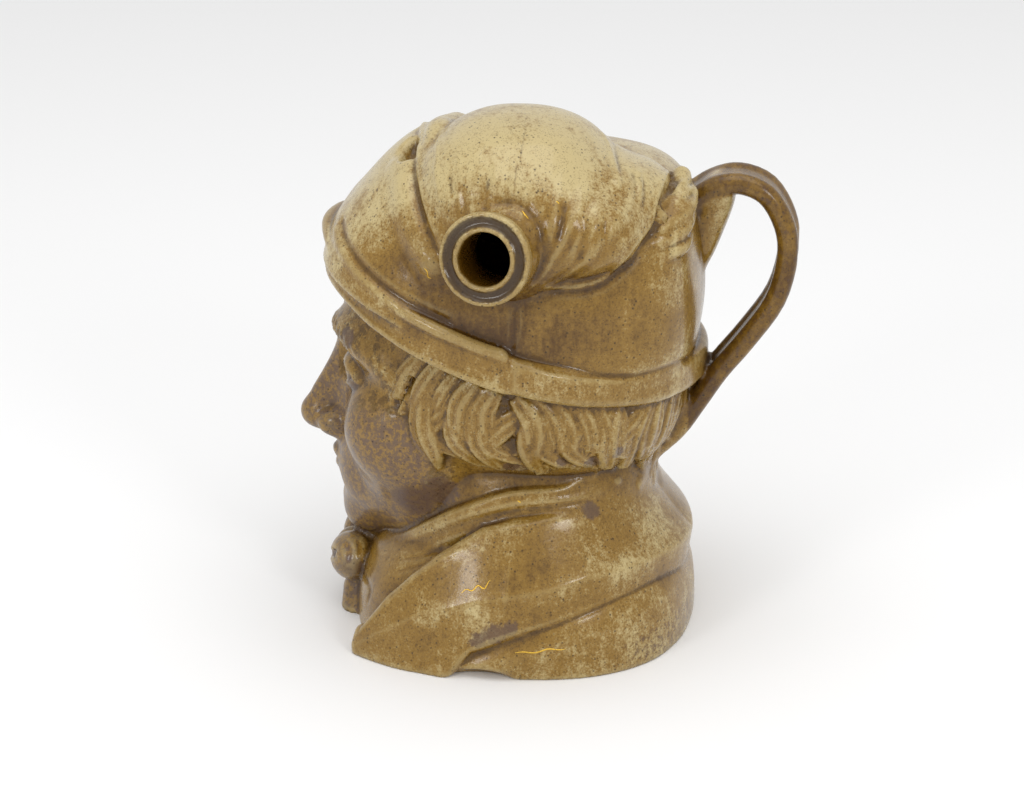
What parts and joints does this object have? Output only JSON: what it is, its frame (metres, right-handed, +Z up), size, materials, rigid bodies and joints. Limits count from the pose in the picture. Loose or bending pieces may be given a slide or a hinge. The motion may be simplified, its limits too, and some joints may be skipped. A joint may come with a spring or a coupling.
{
  "type": "stoneware head jug",
  "caption": "Hollow stoneware jug in the form of a head in a nightcap, with a round spout in the cap's tail and a ribbed strap handle.",
  "frame": {"origin": "centre of the flat underside", "axes": "+Z up, the face looks along -Y, the spout points to +X, the handle is at +Y"},
  "size_m": [0.1497, 0.1805, 0.1945],
  "materials": {
    "stoneware": "brown salt glaze, olive to purple-brown, mottled and speckled, with a soft gloss"
  },
  "bodies": {
    "root": {"jug": "stoneware"}
  },
  "joints": []
}
